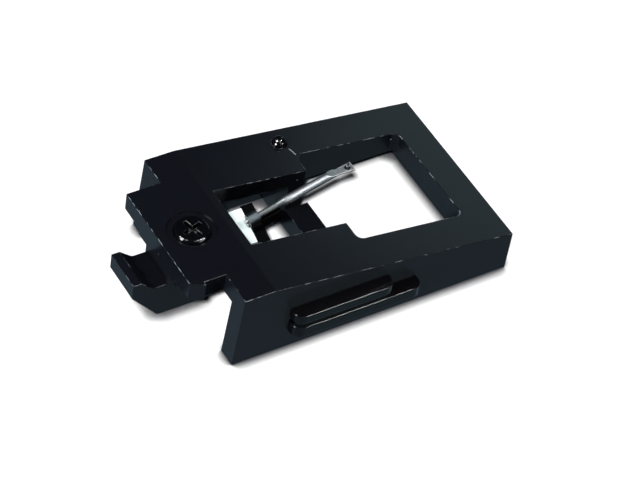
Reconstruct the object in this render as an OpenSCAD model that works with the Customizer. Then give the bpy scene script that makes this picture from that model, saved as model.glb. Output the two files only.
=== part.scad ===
// Replacement stylus for a record player pickup, lying on its base with the needle up.
// The frame is one hollow moulding: a deck with a window, two side skirts, a guard bar
// at the needle end, and a tongue with a hook at the rear end. All sizes are in mm.
// The long side runs along x, the guard bar is at the high end of x, z is up.

/* [Frame] */
// Length of the frame from the rear of the deck to the guard bar
frame_l = 24.5; // [23.5:0.1:25.5]
// Width of the frame over the skirts
frame_w = 16; // [15.4:0.1:16.8]
// Height of the level part of the deck above the base
deck_h = 7.0; // [6.8:0.1:7.3]
// Height of the top at the guard bar
guard_h = 3.85; // [3.6:0.05:4.2]
// Length of the level part of the deck
level_l = 2.6; // [2.2:0.1:3.0]
// Thickness of the skirts
skirt_t = 1.65; // [1.4:0.05:1.9]
// Thickness of the skirts beside the window
window_skirt_t = 1.1; // [1.0:0.05:1.4]
// Thickness of the deck
deck_t = 1.6; // [1.4:0.1:1.8]
// Lean of the rear ends of the skirts
skirt_lean = 0.4; // [0.2:0.1:0.6]

/* [Openings] */
// Length of the window
window_l = 9.8; // [9.2:0.1:10.2]
// Width of the window
window_w = 9.9; // [9.5:0.1:10.3]
// Corner radius of the window
window_r = 0.6; // [0.3:0.1:0.8]
// Length of the slot behind the window
slot_l = 8.55; // [8.3:0.05:8.7]
// Width of the slot
slot_w = 6.1; // [5.7:0.1:6.5]
// Height of the cross bar that closes the slot below
bar_h = 1.85; // [1.6:0.05:2.0]

/* [Finger grips] */
// How far the ribs stand out from the skirts
rib_out = 1.2; // [0.8:0.1:1.4]
// Height of the upper rib
rib_t = 0.8; // [0.6:0.1:0.9]

/* [Tongue and hook] */
// Length of the tongue
tongue_l = 2.95; // [2.6:0.05:3.2]
// Width of the tongue
tongue_w = 10.7; // [10.2:0.1:11.2]
// Width of the hook
hook_w = 3.6; // [3.2:0.1:3.8]
// How far the hook reaches behind the deck
hook_l = 5.93; // [5.6:0.01:6.2]

/* [Needle] */
// Upward slope of the cantilever in degrees
cantilever_rise = 17.2; // [16.4:0.2:18]
// Radius of the cantilever behind its flattened end
rod_r = 0.34; // [0.3:0.01:0.36]
// Radius of the pivot collar
collar_r = 0.52; // [0.5:0.01:0.56]

/* [Clearances] */
// Running clearance between the collar and the rubber saddle
run_gap = 0.05; // [0.03:0.01:0.07]
// Gap between fixed neighbours that do not bear on each other
seat_gap = 0.05; // [0.03:0.01:0.07]

/* [Hidden] */
$fn = 64;
cut = 1;
rear_x = (hook_l - frame_l) / 2;
guard_x = rear_x + frame_l;
half_w = frame_w / 2;
inner_w = frame_w - 2 * skirt_t;
window_inner_w = frame_w - 2 * window_skirt_t;
wall_low_z = 2.4;
guard_t = 2.85;
window_x1 = guard_x - guard_t;
window_x0 = window_x1 - window_l;
slot_x0 = window_x0 - slot_l;
bar_x0 = window_x0 - 1.45;
lug_l = 0.6;
crease_x = rear_x + level_l;
top_slope = (deck_h - guard_h) / (frame_l - level_l);
ceiling_z = deck_h - deck_t;
ceiling_low_z = ceiling_z - top_slope * (bar_x0 - slot_x0);

tongue_x = rear_x - tongue_l;
pad_w = 6;
pad_z = ceiling_z - 0.55;
relief_l = 1.85;
relief_d = 0.35;

lip_x = rear_x - hook_l;
hook_floor_z = 4.05;
hook_low_z = 0.95;
seat_z = 3.4;
seat_x = rear_x - 2.1;
keel_end_x = rear_x + 1.9;

rib_r = 0.8;
rib_x0 = rear_x + 4.2;
rib_top_x1 = rear_x + 12.9;
rib_low_x1 = rear_x + 15.6;
rib_top_z = 3.5;
rib_low_z = 2.0;
rib_low_t = 1.0;

screw_x = rear_x - 0.17;
screw_head_r = 1.42;
screw_head_h = 0.9;
screw_round = 0.25;
screw_sink = 0.55;
recess_l = 1.75;
recess_w = 0.34;
recess_d = 0.55;
recess_turn = 16;
screw_shank_r = 0.7;
spot_r = 2.0;
spot_d = 0.12;
screw_end_z = 3.7;
screw_seat_z = deck_h - spot_d - screw_sink;
screw_top_z = screw_seat_z + screw_head_h;

pip_x = rear_x + 11.3;
pip_y = half_w - 1.5;
pip_r = 0.63;
pip_top_z = deck_h - top_slope * (pip_x - crease_x);
pip_depth = 1.0;
pip_seat_z = pip_top_z - pip_depth;

carrier_reach = 1.7;
carrier_x1 = slot_x0 + carrier_reach;
carrier_front_t = 0.35;
notch_l = 1.6;
notch_w = 1.8;
notch_h = 1.0;
damper_l = 1.04;
damper_x1 = carrier_x1 + damper_l;
damper_w = 4.0;
block_skew = 0.156;
damper_low_z = seat_z;
saddle_l = 0.75;
saddle_w = 1.7;
saddle_root = 0.2;
nose_l = 2.2;
nose_w = 0.9;
nose_low = 1.1;
nose_top = 0.25;
trough_r = 0.44;

pivot_in = 0.35;
pivot_rise = 0.61;
pivot_x = carrier_x1 + pivot_in;
pivot_z = ceiling_z + pivot_rise;
collar_l = 0.9;
collar_front = 0.35;
collar_back = collar_front - collar_l;
collar_end_gap = 0.12;
neck_r = 0.25;
neck_l = 2.0;
taper_l = 0.7;
rod_end = 6.5;
flat_l = 0.8;
blade_s = rod_end + 0.25;
blade_l = 2.05;
blade_root_w = 0.4;
blade_w = 0.85;
blade_t = 0.16;
blade_drop = 10.8;
magnet_r = 0.42;
wire_r = 0.18;
wire_gap = 0.05;
magnet_bore_r = wire_r + wire_gap;
wire_l = 1.1;
needle_s = 1.62;
needle_r = 0.13;
needle_h = 0.42;
needle_cone_h = 0.2;

// A flat outline in x and z, drawn out to both sides of the middle
module side_shape(width) {
  translate([0, width / 2, 0])
    rotate([90, 0, 0])
      linear_extrude(width)
        children();
}

// A rectangle with all four corners rounded
module round_rect(x0, x1, width, r) {
  translate([x0 + r, -width / 2]) square([x1 - x0 - 2 * r, width]);
  translate([x0, -width / 2 + r]) square([x1 - x0, width - 2 * r]);
  for (x = [x0 + r, x1 - r], y = [-width / 2 + r, width / 2 - r])
    translate([x, y]) circle(r);
}

module outer_wedge() {
  side_shape(frame_w)
    polygon([
      [rear_x - skirt_lean, 0], [guard_x, 0], [guard_x, guard_h],
      [crease_x, deck_h], [rear_x, deck_h]
    ]);
}

module rear_hollow() {
  side_shape(inner_w)
    polygon([
      [rear_x - skirt_lean - cut, -cut], [bar_x0, -cut], [bar_x0, ceiling_low_z],
      [slot_x0, ceiling_z], [rear_x - skirt_lean - cut, ceiling_z]
    ]);
}

module window_hollow() {
  translate([window_x0, -window_inner_w / 2, -cut])
    cube([guard_x - skirt_t - window_x0, window_inner_w, wall_low_z + cut]);
}

module window_opening() {
  translate([0, 0, -cut])
    linear_extrude(deck_h + 2 * cut)
      round_rect(window_x0, window_x1, window_w, window_r);
}

module slot_opening() {
  translate([slot_x0, -slot_w / 2, bar_h])
    cube([slot_l + window_r, slot_w, deck_h]);
}

module tongue() {
  translate([0, 0, ceiling_z])
    linear_extrude(deck_t)
      polygon([
        [rear_x + 0.2, tongue_w / 2], [tongue_x, tongue_w / 2], [tongue_x, -tongue_w / 2 + 0.6],
        [rear_x - relief_l, -tongue_w / 2], [rear_x - relief_l, -tongue_w / 2 + relief_d],
        [rear_x + 0.2, -tongue_w / 2 + relief_d]
      ]);
  translate([tongue_x, -pad_w / 2, pad_z])
    cube([seat_x - tongue_x, pad_w, ceiling_z - pad_z]);
}

module hook() {
  side_shape(hook_w)
    polygon([
      [lip_x, 5.05], [lip_x + 0.7, 5.05], [lip_x + 1.42, 4.4], [lip_x + 1.75, 4.12],
      [lip_x + 2.0, hook_floor_z], [tongue_x, hook_floor_z], [tongue_x, ceiling_z], [seat_x, ceiling_z],
      [seat_x, seat_z], [keel_end_x, seat_z], [keel_end_x, hook_low_z + 0.6],
      [keel_end_x - 0.6, hook_low_z], [lip_x + 2.3, hook_low_z], [lip_x, 3.65]
    ]);
}

module rib(x1, z0, t) {
  translate([0, 0, z0])
    linear_extrude(t) {
      translate([rib_x0 + rib_r, -half_w - rib_out]) square([x1 - rib_x0 - 2 * rib_r, rib_out + 0.5]);
      translate([rib_x0, -half_w - rib_out + rib_r]) square([x1 - rib_x0, rib_out + 0.5 - rib_r]);
      for (x = [rib_x0 + rib_r, x1 - rib_r])
        translate([x, -half_w - rib_out + rib_r]) circle(rib_r);
    }
}

module rib_pair() {
  rib(rib_top_x1, rib_top_z, rib_t);
  rib(rib_low_x1, rib_low_z, rib_low_t);
}

module body() {
  color([0.07, 0.08, 0.1])
    difference() {
      union() {
        difference() {
          outer_wedge();
          rear_hollow();
          window_hollow();
          window_opening();
          slot_opening();
        }
        translate([bar_x0, -slot_w / 2, 0]) cube([window_x0 - bar_x0 + lug_l, slot_w, bar_h]);
        tongue();
        hook();
        rib_pair();
        mirror([0, 1, 0]) rib_pair();
      }
      translate([screw_x, 0, deck_h - spot_d]) cylinder(h = cut, r = spot_r);
      translate([screw_x, 0, screw_seat_z]) cylinder(h = cut, r = screw_head_r + seat_gap);
      translate([screw_x, 0, ceiling_z - cut]) cylinder(h = deck_t + cut, r = screw_shank_r + seat_gap);
      translate([pip_x, pip_y, pip_seat_z]) cylinder(h = 2 * cut, r = pip_r);
    }
}

// Half outline of the screw head, with a rounded shoulder
module head_outline() {
  square([screw_head_r, screw_head_h - screw_round]);
  square([screw_head_r - screw_round, screw_head_h]);
  intersection() {
    translate([screw_head_r - screw_round, screw_head_h - screw_round]) circle(screw_round);
    square([screw_head_r, screw_head_h]);
  }
}

// Sunk cross head screw that clamps the carrier under the deck
module screw() {
  color([0.05, 0.05, 0.06])
    translate([screw_x, 0, 0])
      difference() {
        union() {
          translate([0, 0, screw_end_z]) cylinder(h = screw_seat_z - screw_end_z, r = screw_shank_r);
          translate([0, 0, screw_seat_z]) rotate_extrude() head_outline();
        }
        for (turn = [0, 90])
          rotate([0, 0, turn + recess_turn])
            translate([-recess_l / 2, -recess_w / 2, screw_top_z - recess_d])
              cube([recess_l, recess_w, recess_d + cut]);
      }
}

// Glossy domed pip pressed into the far side of the deck
module pip() {
  color([0.04, 0.04, 0.05])
    translate([pip_x, pip_y, pip_seat_z]) {
      cylinder(h = pip_top_z - pip_seat_z, r = pip_r);
      translate([0, 0, pip_top_z - pip_seat_z])
        intersection() {
          cylinder(h = pip_r, r = pip_r);
          sphere(pip_r);
        }
    }
}

// A strip across the middle whose two long sides run askew
module skew_plan(x0, x1, width) {
  lead = block_skew * width / 2;
  polygon([
    [x0 - lead, -width / 2], [x1 - lead, -width / 2],
    [x1 + lead, width / 2], [x0 + lead, width / 2]
  ]);
}

// Pale clamp block under the deck, its front face set a little askew
module carrier() {
  color([0.8, 0.85, 0.85])
    difference() {
      intersection() {
        translate([seat_x + seat_gap, -hook_w / 2, seat_z])
          cube([carrier_x1 - seat_x + hook_w, hook_w, ceiling_z - seat_z]);
        translate([0, 0, seat_z])
          linear_extrude(ceiling_z - seat_z)
            skew_plan(seat_x - hook_w, carrier_x1, 2 * hook_w);
      }
      translate([screw_x, 0, screw_end_z]) cylinder(h = deck_t + cut, r = screw_shank_r);
      translate([carrier_x1 - carrier_front_t - notch_l, -notch_w / 2, seat_z - cut])
        cube([notch_l, notch_w, notch_h + cut]);
      collar_room();
    }
}

// The line of the cantilever, with its pivot at the origin
module on_axis() {
  translate([pivot_x, 0, pivot_z])
    rotate([0, 90 - cantilever_rise, 0])
      children();
}

// Room for the collar to swing in
module collar_room() {
  on_axis()
    translate([0, 0, collar_back - collar_end_gap])
      cylinder(h = collar_l + collar_end_gap + run_gap, r = collar_r + run_gap);
}

// Rubber block with a saddle round the collar and a trough under the thin neck
module damper() {
  color([0.03, 0.03, 0.03])
    difference() {
      union() {
        translate([0, 0, damper_low_z])
          linear_extrude(ceiling_z - damper_low_z)
            skew_plan(carrier_x1, damper_x1, damper_w);
        translate([0, 0, ceiling_z - saddle_root])
          linear_extrude(pivot_rise + saddle_root)
            skew_plan(carrier_x1, carrier_x1 + saddle_l, saddle_w);
        on_axis()
          translate([nose_top, -nose_w / 2, collar_front + run_gap])
            cube([nose_low - nose_top, nose_w, nose_l - collar_front - run_gap]);
      }
      collar_room();
      on_axis() translate([0, 0, collar_front]) cylinder(h = 2 * nose_l, r = trough_r);
    }
}

module collar() {
  color([0.6, 0.63, 0.65])
    on_axis()
      difference() {
        translate([0, 0, collar_back]) cylinder(h = collar_l, r = collar_r);
        translate([0, 0, collar_back - cut]) cylinder(h = collar_l + 2 * cut, r = magnet_r);
      }
}

// Tubular magnet pressed into the collar behind the neck
module magnet() {
  color([0.3, 0.3, 0.32])
    on_axis()
      difference() {
        translate([0, 0, collar_back]) cylinder(h = collar_l, r = magnet_r);
        translate([0, 0, collar_back - cut]) cylinder(h = collar_l + 2 * cut, r = magnet_bore_r);
      }
}

// Thin suspension wire inside the magnet, the point that the cantilever swings on
module tie_wire() {
  color([0.7, 0.7, 0.7])
    on_axis()
      translate([0, 0, collar_front - wire_gap - wire_l]) cylinder(h = wire_l, r = wire_r);
}

// Plan of the flattened end, which widens towards its edge
module blade_plan() {
  polygon([
    [0, -blade_root_w / 2], [blade_l, -blade_w / 2],
    [blade_l, blade_w / 2], [0, blade_root_w / 2]
  ]);
}

// The flattened end starts on the line of the rod and lies flatter than it
module on_blade() {
  on_axis()
    translate([0, 0, blade_s])
      rotate([0, blade_drop, 0])
        rotate([0, -90, 0])
          children();
}

module cantilever() {
  color([0.8, 0.82, 0.84]) {
    on_axis() {
      rotate_extrude()
        polygon([
          [0, collar_front], [neck_r, collar_front], [neck_r, neck_l], [rod_r, neck_l + taper_l],
          [rod_r, rod_end], [0, rod_end]
        ]);
      intersection() {
        translate([0, 0, rod_end - blade_t]) cylinder(h = flat_l + blade_t, r = rod_r);
        rotate([90, 0, 0])
          translate([0, 0, -rod_r])
            linear_extrude(2 * rod_r)
              polygon([
                [-rod_r, rod_end - blade_t], [rod_r, rod_end - blade_t], [rod_r, rod_end],
                [blade_t, rod_end + flat_l], [0, rod_end + flat_l], [-rod_r, rod_end]
              ]);
      }
    }
    on_blade()
      translate([0, 0, -blade_t / 2])
        linear_extrude(blade_t)
          blade_plan();
  }
}

// Diamond on its short shank, standing up from the blade
module needle() {
  color([0.25, 0.25, 0.28])
    on_blade()
      translate([needle_s, 0, blade_t / 2]) {
        cylinder(h = needle_h, r = needle_r);
        translate([0, 0, needle_h]) cylinder(h = needle_cone_h, r1 = needle_r, r2 = 0.02);
      }
}

body();
screw();
pip();
carrier();
damper();
collar();
magnet();
tie_wire();
cantilever();
needle();
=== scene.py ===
"""Looks of the turntable stylus: camera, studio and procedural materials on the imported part."""

import math

import bpy
from mathutils import Matrix, Vector


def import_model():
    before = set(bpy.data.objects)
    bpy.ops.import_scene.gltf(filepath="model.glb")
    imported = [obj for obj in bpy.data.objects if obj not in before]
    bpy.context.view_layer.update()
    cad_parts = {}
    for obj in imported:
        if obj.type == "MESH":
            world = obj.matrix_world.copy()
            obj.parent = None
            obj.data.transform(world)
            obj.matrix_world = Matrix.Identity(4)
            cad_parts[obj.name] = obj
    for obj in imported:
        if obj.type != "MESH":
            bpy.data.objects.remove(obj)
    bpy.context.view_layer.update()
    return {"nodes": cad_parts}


MM = 0.001
PER_MM = (1000, 1000, 1000)
ALONG_TUBES = (400, 9000, 9000)
WHITE = (1, 1, 1)
CENTRE = (0, 0, 0)

# The camera, solved from the straight edges of the frame in the photograph
CAMERA_PLACE_MM = (-89.935, -119.306, 158.232)
CAMERA_AZIMUTH = -37.833
CAMERA_ELEVATION = 46.21
CAMERA_ROLL = 10.276
CAMERA_LENS = 155.7
CAMERA_SENSOR = 36

# Places on the part where a finish or a painted mark begins or ends. A pair is a soft border,
# from and to.
RIB_SIDE = (8.02 * MM, 8.07 * MM)
SCREW_PLACE = (-9.455 * MM, 0, 6.95 * MM)
SCREW_SEAT = (2.1 * MM, 2.25 * MM)
NEEDLE_PLACE = (4.08 * MM, 0, 8.28 * MM)
NEEDLE_PATCH_REACH = (0.22 * MM, 0.27 * MM)
NECK_END = (-1.6 * MM, -0.8 * MM)
BLADE_START = (2.2 * MM, 2.5 * MM)

# A painted highlight beside the window corner, a thin bowed bright line: x and y of its ends, the
# soft borders of its side and ends
HIGHLIGHT_LINE_FROM = (2.47 * MM, 5.67 * MM)
HIGHLIGHT_LINE_TO = (2.66 * MM, 4.96 * MM)
HIGHLIGHT_LINE_SIDE = (0.03 * MM, 0.06 * MM)
HIGHLIGHT_LINE_END = 0.05 * MM
HIGHLIGHT_LINE_BOW = 0.6
HIGHLIGHT_LINE_STRENGTH = 0.3

# How far the drawn edges are rounded
FRAME_ROUNDING = 0.09 * MM
RUBBER_ROUNDING = 0.08 * MM
PIP_ROUNDING = 0.06 * MM
SCREW_ROUNDING = 0.05 * MM
TUBE_ROUNDING = 0.05 * MM
METAL_ROUNDING = 0.03 * MM

# Frame, screw and pip
FRAME_BLACK = (0.0018, 0.0018, 0.0030)
FRAME_NAVY = (0.0022, 0.0028, 0.0044)
# Pale colour for the upper edges in patches: partly real wear, partly a painted highlight
FRAME_WORN_AND_GLINT = (0.5, 0.56, 0.6)
FRAME_ROUGHNESS = (0.20, 0.27)
RIB_POLISH = 0.16
# Light the finger ribs give off, seen only in reflections: a painted reflection
RIB_GLOW_IN_REFLECTIONS = (0.12, 0.16, 0.17)
GLOSS_BLACK = (0.0008, 0.0008, 0.0012)
# Pale colour on the screw's edges: partly bare metal, partly a painted highlight
SCREW_BARE_AND_GLINT = (0.10, 0.11, 0.12)

# Needle suspension
PALE_METAL = (0.66, 0.76, 0.76)
COLLAR_METAL = (0.12, 0.145, 0.16)
MAGNET_METAL = (0.2, 0.2, 0.21)
WIRE_METAL = (0.6, 0.6, 0.6)
TUBE_METAL = (0.62, 0.66, 0.68)
TUBE_DARK = (0.45, 0.48, 0.50)
NECK_METAL = (0.14, 0.155, 0.155)
NECK_DARK = (0.08, 0.09, 0.09)
# Near-white painted on the blade's edges: a painted highlight
BLADE_EDGE_HIGHLIGHT = (0.95, 0.97, 0.98)
# Dark colour painted in a round patch on the arm round the needle
NEEDLE_DARK_PATCH = (0.012, 0.014, 0.016)
RUBBER_BLACK = (0.0006, 0.0006, 0.0008)
RUBBER_GREY = (0.0016, 0.0016, 0.002)
DIAMOND_DARK = (0.004, 0.004, 0.005)
DIAMOND_GREY = (0.03, 0.032, 0.035)

# Paper: its own white, the shade close to the part, and what the black plastic mirrors of it
PAPER_SIZE = 4
PAPER_FIBRE = (0.78, 0.78, 0.78)
PAPER_WHITE = (0.82, 0.82, 0.82)
PAPER_FADES = (0.06, 0.12)
CONTACT_SHADE = (0.05, 0.05, 0.055)
CONTACT_REACH = 1.5 * MM
CONTACT_BAND = (0.58, 0.88)
FLOOR_MIRRORED = (0.111, 0.160, 0.191)
STUDIO_DIM = (0.018, 0.019, 0.028)

# Lights: name, place and size in metres, power in watts, colour, the point it aims at
PAPER_LIGHT = ("paper_light", (-0.2066, -0.2433, 0.3585), (0.024, 0.024), 4.5, WHITE, CENTRE)
PART_LIGHTS = (
    ("overhead", (-0.22, 0.05, 0.33), (0.16, 0.16), 2.8, WHITE, CENTRE),
    ("main", (0.17, -0.08, 0.355), (0.03, 0.03), 0.8, WHITE, CENTRE),
    ("streak", (-0.023, -0.22, 0.334), (0.04, 0.28), 0.24, WHITE, CENTRE),
    ("front", (0.13, -0.27, 0.14), (0.12, 0.05), 0.4, WHITE, CENTRE),
    ("left", (-0.34, -0.06, 0.07), (0.08, 0.08), 2.2, (0.93, 1.0, 1.0), CENTRE),
    ("card", (0.110, 0.074, 0.067), (0.05, 0.05), 0.0065, (0.68, 0.95, 1.0), (0.012, 0, 0.004)),
)


def make_camera():
    data = bpy.data.cameras.new("camera")
    data.sensor_width = CAMERA_SENSOR
    data.lens = CAMERA_LENS
    data.clip_start, data.clip_end = 0.01, 10
    camera = bpy.data.objects.new("camera", data)
    bpy.context.scene.collection.objects.link(camera)
    a, e, r = (math.radians(v) for v in (CAMERA_AZIMUTH, CAMERA_ELEVATION, CAMERA_ROLL))
    back = Vector((math.sin(a) * math.cos(e), -math.cos(a) * math.cos(e), math.sin(e)))
    level = (-back).cross(Vector((0, 0, 1))).normalized()
    upright = level.cross(-back)
    right = level * math.cos(r) + upright * math.sin(r)
    up = upright * math.cos(r) - level * math.sin(r)
    turn = Matrix((right, up, back)).transposed().to_4x4()
    camera.matrix_world = Matrix.Translation(Vector(CAMERA_PLACE_MM) * MM) @ turn
    bpy.context.scene.camera = camera


class Graph:
    """The nodes of a material or world, with a short call for each kind that is used here."""

    def __init__(self, owner, shader="Principled BSDF"):
        owner.use_nodes = True
        self.owner = owner
        self.nodes = owner.node_tree.nodes
        self.links = owner.node_tree.links
        self.shader = self.nodes[shader]

    def feed(self, socket, value):
        """Links an output to the socket, or sets the socket to a number, colour or vector."""
        if isinstance(value, bpy.types.NodeSocket):
            self.links.new(value, socket)
        elif socket.type == "RGBA":
            socket.default_value = (*value, 1)
        else:
            socket.default_value = value

    def feed_shader(self, **values):
        """Feeds the shader: base_color is its socket Base Color, and so on."""
        sockets = {socket.name.lower().replace(" ", "_"): socket for socket in self.shader.inputs}
        for name, value in values.items():
            self.feed(sockets[name], value)
        return self.owner

    def here(self):
        """Object coordinates in metres."""
        return self.nodes.new("ShaderNodeTexCoord").outputs["Object"]

    def stretched(self, scale):
        """Object coordinates times the scale."""
        node = self.nodes.new("ShaderNodeMapping")
        node.inputs["Scale"].default_value = scale
        self.feed(node.inputs["Vector"], self.here())
        return node.outputs["Vector"]

    def axis(self, letter, vector=None):
        """One axis of a vector, by default of the object coordinates."""
        node = self.nodes.new("ShaderNodeSeparateXYZ")
        self.feed(node.inputs[0], self.here() if vector is None else vector)
        return node.outputs[letter]

    def noise(self, vector, scale, detail=4.0, roughness=0.6):
        node = self.nodes.new("ShaderNodeTexNoise")
        node.inputs["Scale"].default_value = scale
        node.inputs["Detail"].default_value = detail
        node.inputs["Roughness"].default_value = roughness
        self.feed(node.inputs["Vector"], vector)
        return node.outputs["Fac"]

    def specks(self, vector, scale):
        """Distance to the nearest of some scattered points."""
        node = self.nodes.new("ShaderNodeTexVoronoi")
        node.inputs["Scale"].default_value = scale
        self.feed(node.inputs["Vector"], vector)
        return node.outputs["Distance"]

    def spread(self, value, low, high, to_low=0, to_high=1):
        """The value's range from low to high, stretched to the new range and held there."""
        node = self.nodes.new("ShaderNodeMapRange")
        node.inputs["From Min"].default_value = low
        node.inputs["From Max"].default_value = high
        node.inputs["To Min"].default_value = to_low
        node.inputs["To Max"].default_value = to_high
        self.feed(node.inputs["Value"], value)
        return node.outputs["Result"]

    def mixed(self, share, first, second):
        """Colour between first, at share 0, and second, at share 1."""
        node = self.nodes.new("ShaderNodeMix")
        node.data_type = "RGBA"
        self.feed(node.inputs["Factor"], share)
        self.feed(node.inputs[6], first)
        self.feed(node.inputs[7], second)
        return node.outputs[2]

    def maths(self, operation, first, second=None, clamp=False):
        node = self.nodes.new("ShaderNodeMath")
        node.operation = operation
        node.use_clamp = clamp
        self.feed(node.inputs[0], first)
        if second is not None:
            self.feed(node.inputs[1], second)
        return node.outputs["Value"]

    def times(self, first, second):
        return self.maths("MULTIPLY", first, second, clamp=True)

    def greater(self, first, second):
        return self.maths("MAXIMUM", first, second, clamp=True)

    def bump(self, height, strength, distance, normal):
        node = self.nodes.new("ShaderNodeBump")
        node.inputs["Strength"].default_value = strength
        node.inputs["Distance"].default_value = distance
        self.feed(node.inputs["Height"], height)
        self.feed(node.inputs["Normal"], normal)
        return node.outputs["Normal"]

    def soft_edges(self, radius):
        node = self.nodes.new("ShaderNodeBevel")
        node.samples = 6
        node.inputs["Radius"].default_value = radius
        return node.outputs["Normal"]

    def openness(self, reach, samples, only_local=False):
        """Share of the sky seen within reach."""
        node = self.nodes.new("ShaderNodeAmbientOcclusion")
        node.samples = samples
        node.only_local = only_local
        node.inputs["Distance"].default_value = reach
        return node.outputs["AO"]

    def geometry(self, output):
        return self.nodes.new("ShaderNodeNewGeometry").outputs[output]

    def ray(self, kind):
        return self.nodes.new("ShaderNodeLightPath").outputs[kind]

    def keep_inner_corners(self, share, rounded):
        """The rounded normal outside, the flat one in the inner corners."""
        node = self.nodes.new("ShaderNodeMix")
        node.data_type = "VECTOR"
        self.feed(node.inputs["Factor"], share)
        self.feed(node.inputs[4], self.geometry("Normal"))
        self.feed(node.inputs[5], rounded)
        return node.outputs[1]

    def edge_mask(self, normal):
        """1 on the narrow band where the rounded normal leaves the flat one."""
        node = self.nodes.new("ShaderNodeVectorMath")
        node.operation = "DOT_PRODUCT"
        self.feed(node.inputs[0], self.geometry("True Normal"))
        self.feed(node.inputs[1], normal)
        return self.spread(node.outputs["Value"], 0.99, 0.9)

    def away_from(self, place, near, far):
        """0 within near of the place, 1 beyond far."""
        node = self.nodes.new("ShaderNodeVectorMath")
        node.operation = "DISTANCE"
        node.inputs[1].default_value = place
        self.feed(node.inputs[0], self.here())
        return self.spread(node.outputs["Value"], near, far)


def new_material(name):
    return Graph(bpy.data.materials.new(name))


# Frame moulding

def rib_mask(graph):
    """1 on the finger ribs, which stand outside the skirts on both sides."""
    return graph.spread(graph.maths("ABSOLUTE", graph.axis("Y")), *RIB_SIDE)


def highlight_line_mask(graph):
    """A thin bowed bright line on the top between the pip and the window: a painted highlight of
    the window corner's rounding.
    """
    across = graph.axis("Y")
    run = graph.maths("POWER", graph.spread(across, HIGHLIGHT_LINE_FROM[1], HIGHLIGHT_LINE_TO[1]), HIGHLIGHT_LINE_BOW)
    course = graph.spread(run, 0, 1, HIGHLIGHT_LINE_FROM[0], HIGHLIGHT_LINE_TO[0])
    aside = graph.maths("ABSOLUTE", graph.maths("SUBTRACT", graph.axis("X"), course))
    line = graph.spread(aside, *HIGHLIGHT_LINE_SIDE, 1, 0)
    starts = graph.spread(across, HIGHLIGHT_LINE_FROM[1], HIGHLIGHT_LINE_FROM[1] + HIGHLIGHT_LINE_END, 1, 0)
    ends = graph.spread(across, HIGHLIGHT_LINE_TO[1] - HIGHLIGHT_LINE_END, HIGHLIGHT_LINE_TO[1])
    return graph.times(graph.times(line, graph.times(starts, ends)), HIGHLIGHT_LINE_STRENGTH)


def frame_marks(graph, spot, ribs, rounded):
    """Upper edges painted pale in places, partly as wear and partly as painted highlight, dust,
    and the painted highlight line.
    """
    patches = graph.spread(graph.noise(spot, 1.4, 4), 0.5, 0.62)
    # Upper edges painted pale in patches: partly wear, partly a painted highlight where lamps
    # above would catch them
    worn_and_glint = graph.times(graph.edge_mask(rounded), patches)
    worn_and_glint = graph.times(worn_and_glint, graph.maths("SUBTRACT", 1.0, ribs, clamp=True))
    worn_and_glint = graph.times(worn_and_glint, graph.spread(graph.axis("Z", rounded), 0.15, 0.3))
    dust = graph.spread(graph.specks(spot, 0.45), 0.04, 0.02, 0, 0.3)
    return graph.greater(graph.greater(graph.times(worn_and_glint, 0.35), dust), highlight_line_mask(graph))


def frame_plastic():
    """Moulded black plastic: fine grain, upper edges painted pale as wear and painted highlight,
    dust, a painted highlight line, and polished finger ribs that glow in reflections as a painted
    reflection.
    """
    graph = new_material("frame_plastic")
    spot = graph.stretched(PER_MM)
    cloud = graph.noise(spot, 0.35, 3)
    grain = graph.noise(spot, 14, 5, 0.7)
    outside = graph.spread(graph.openness(0.15 * MM, 4, only_local=True), 0.8, 0.97)
    outside = graph.times(outside, graph.away_from(SCREW_PLACE, *SCREW_SEAT))
    rounded = graph.keep_inner_corners(outside, graph.soft_edges(FRAME_ROUNDING))
    ribs = rib_mask(graph)
    black = graph.mixed(ribs, graph.mixed(cloud, FRAME_BLACK, FRAME_NAVY), GLOSS_BLACK)
    matt = graph.spread(grain, 0.3, 0.7, *FRAME_ROUGHNESS)
    return graph.feed_shader(
        base_color=graph.mixed(frame_marks(graph, spot, ribs, rounded), black, FRAME_WORN_AND_GLINT),
        roughness=graph.maths("SUBTRACT", matt, graph.times(ribs, RIB_POLISH), clamp=True),
        specular_ior_level=0.3,
        # The ribs glow in reflections only: a painted reflection
        emission_color=RIB_GLOW_IN_REFLECTIONS,
        emission_strength=graph.times(ribs, graph.ray("Is Glossy Ray")),
        normal=graph.bump(grain, 0.05, 0.01 * MM, rounded),
    )


# Screw and pip

def screw_black():
    """Blackened screw: glossy, crinkled by the plating, with the edges of recess and rim painted
    pale in patches, partly as bare metal and partly as painted highlight.
    """
    graph = new_material("screw_black")
    spot = graph.stretched(PER_MM)
    crinkle = graph.noise(spot, 1.7, 2, 0.5)
    rounded = graph.soft_edges(SCREW_ROUNDING)
    patches = graph.spread(graph.noise(spot, 1.1, 2), 0.45, 0.6)
    # Recess and rim edges painted pale in patches: partly bare metal, partly a painted highlight
    bare_and_glint = graph.times(graph.edge_mask(rounded), patches)
    return graph.feed_shader(
        base_color=graph.mixed(bare_and_glint, GLOSS_BLACK, SCREW_BARE_AND_GLINT),
        roughness=0.12,
        normal=graph.bump(crinkle, 0.7, 0.12 * MM, rounded),
    )


def pip_black():
    """Very glossy black with slight smears."""
    graph = new_material("pip_black")
    smear = graph.noise(graph.stretched(PER_MM), 2.5, 3)
    return graph.feed_shader(
        base_color=GLOSS_BLACK,
        roughness=graph.spread(smear, 0.3, 0.7, 0.08, 0.16),
        normal=graph.bump(smear, 0.05, 0.02 * MM, graph.soft_edges(PIP_ROUNDING)),
    )


# Needle suspension

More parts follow.
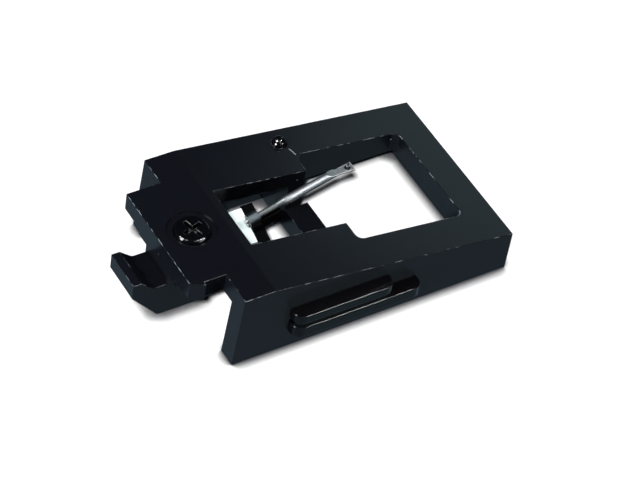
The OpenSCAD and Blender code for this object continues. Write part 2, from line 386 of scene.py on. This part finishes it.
def metal(name, colour, roughness, metallic=1.0):
    """Drawn or turned metal with fine streaks along the part."""
    graph = new_material(name)
    streak = graph.noise(graph.stretched(ALONG_TUBES), 1.0, 4)
    darker = tuple(0.8 * c for c in colour)
    return graph.feed_shader(
        base_color=graph.mixed(streak, darker, colour),
        roughness=graph.spread(streak, 0.3, 0.7, roughness, roughness + 0.08),
        metallic=metallic,
        normal=graph.bump(streak, 0.1, 0.01 * MM, graph.soft_edges(METAL_ROUNDING)),
    )


def tube_metal():
    """Drawn aluminium: polished tube, darker and rougher on the neck, satin on the blade with its
    edges painted near-white as a painted highlight, and a dark patch round the needle.
    """
    graph = new_material("tube_metal")
    mottle = graph.noise(graph.stretched(PER_MM), 7, 4)
    past_neck = graph.spread(graph.axis("X"), *NECK_END)
    blade = graph.spread(graph.axis("X"), *BLADE_START)
    rounded = graph.soft_edges(TUBE_ROUNDING)
    # The blade's edges are painted near-white: a painted highlight
    edge = graph.times(graph.edge_mask(rounded), blade)
    dull = graph.mixed(mottle, NECK_DARK, NECK_METAL)
    bright = graph.mixed(mottle, TUBE_DARK, TUBE_METAL)
    colour = graph.mixed(edge, graph.mixed(past_neck, dull, bright), BLADE_EDGE_HIGHLIGHT)
    # A dark patch is painted round the needle
    clear = graph.away_from(NEEDLE_PLACE, *NEEDLE_PATCH_REACH)
    satin = graph.greater(graph.times(blade, 0.1), graph.times(edge, 0.4))
    rough = graph.spread(past_neck, 0, 1, 0.45, 0.28)
    return graph.feed_shader(
        base_color=graph.mixed(clear, NEEDLE_DARK_PATCH, colour),
        roughness=graph.maths("ADD", rough, satin, clamp=True),
        metallic=1.0,
        normal=graph.bump(mottle, 0.1, 0.01 * MM, rounded),
    )


def rubber():
    """Dead black rubber with a fine grain."""
    graph = new_material("rubber")
    grain = graph.noise(graph.stretched(PER_MM), 9, 4)
    return graph.feed_shader(
        base_color=graph.mixed(grain, RUBBER_BLACK, RUBBER_GREY),
        roughness=0.8,
        specular_ior_level=0.02,
        normal=graph.bump(grain, 0.3, 0.02 * MM, graph.soft_edges(RUBBER_ROUNDING)),
    )


def diamond():
    """Polished stone, coloured dark grey."""
    graph = new_material("diamond")
    facet = graph.noise(graph.stretched(PER_MM), 6, 2)
    return graph.feed_shader(
        base_color=graph.mixed(facet, DIAMOND_DARK, DIAMOND_GREY),
        roughness=0.08,
        ior=1.6,
    )


def dress_nodes(frame):
    materials = {
        "body": frame_plastic(),
        "screw": screw_black(),
        "pip": pip_black(),
        "carrier": metal("pale_metal", PALE_METAL, 0.45, metallic=0.0),
        "damper": rubber(),
        "collar": metal("collar_metal", COLLAR_METAL, 0.3),
        "magnet": metal("magnet_metal", MAGNET_METAL, 0.4),
        "tie_wire": metal("wire_metal", WIRE_METAL, 0.25),
        "cantilever": tube_metal(),
        "needle": diamond(),
    }
    for name, material in materials.items():
        mesh = frame["nodes"][name].data
        mesh.materials.clear()
        mesh.materials.append(material)


# Studio

def floor_paper():
    """White paper, shaded close to the part and darker in the part's own reflections."""
    graph = new_material("floor_paper")
    fibre = graph.noise(graph.here(), 300, 3)
    paper = graph.mixed(fibre, PAPER_FIBRE, PAPER_WHITE)
    mirrored = graph.mixed(graph.ray("Is Glossy Ray"), paper, FLOOR_MIRRORED)
    clear = graph.spread(graph.openness(CONTACT_REACH, 8), *CONTACT_BAND)
    seen = graph.mixed(clear, CONTACT_SHADE, PAPER_WHITE)
    by_camera = graph.ray("Is Camera Ray")
    return graph.feed_shader(
        base_color=graph.mixed(by_camera, mirrored, seen),
        roughness=0.9,
        specular_ior_level=0.0,
        emission_color=WHITE,
        emission_strength=graph.times(graph.away_from(CENTRE, *PAPER_FADES), by_camera),
    )


def add_floor():
    bpy.ops.mesh.primitive_plane_add(size=PAPER_SIZE, location=CENTRE)
    floor = bpy.context.object
    floor.name = "floor"
    floor.data.materials.append(floor_paper())
    return floor


def make_world():
    """Dim room for the part, white behind it for the camera."""
    world = bpy.data.worlds.new("studio")
    bpy.context.scene.world = world
    graph = Graph(world, "Background")
    colour = graph.mixed(graph.ray("Is Camera Ray"), STUDIO_DIM, WHITE)
    graph.feed_shader(color=colour, strength=1.0)


def only_these(name, objects):
    """Collection for a light that falls on these objects and on nothing else."""
    collection = bpy.data.collections.new(name)
    for thing in objects:
        collection.objects.link(thing)
    return collection


def area_light(name, place, size, power, colour, aim, only):
    data = bpy.data.lights.new(name, "AREA")
    data.shape = "RECTANGLE"
    data.size, data.size_y = size
    data.energy = power
    data.color = colour
    light = bpy.data.objects.new(name, data)
    bpy.context.scene.collection.objects.link(light)
    light.location = place
    light.rotation_euler = (Vector(aim) - Vector(place)).to_track_quat("-Z", "Y").to_euler()
    light.light_linking.receiver_collection = only


def make_studio(frame):
    floor = add_floor()
    make_world()
    part_only = only_these("part_only", frame["nodes"].values())
    paper_only = only_these("paper_only", [floor])
    area_light(*PAPER_LIGHT, paper_only)
    for light in PART_LIGHTS:
        area_light(*light, part_only)


def main():
    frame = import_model()
    make_camera()
    dress_nodes(frame)
    make_studio(frame)
    bpy.context.scene.view_settings.view_transform = "Standard"


main()
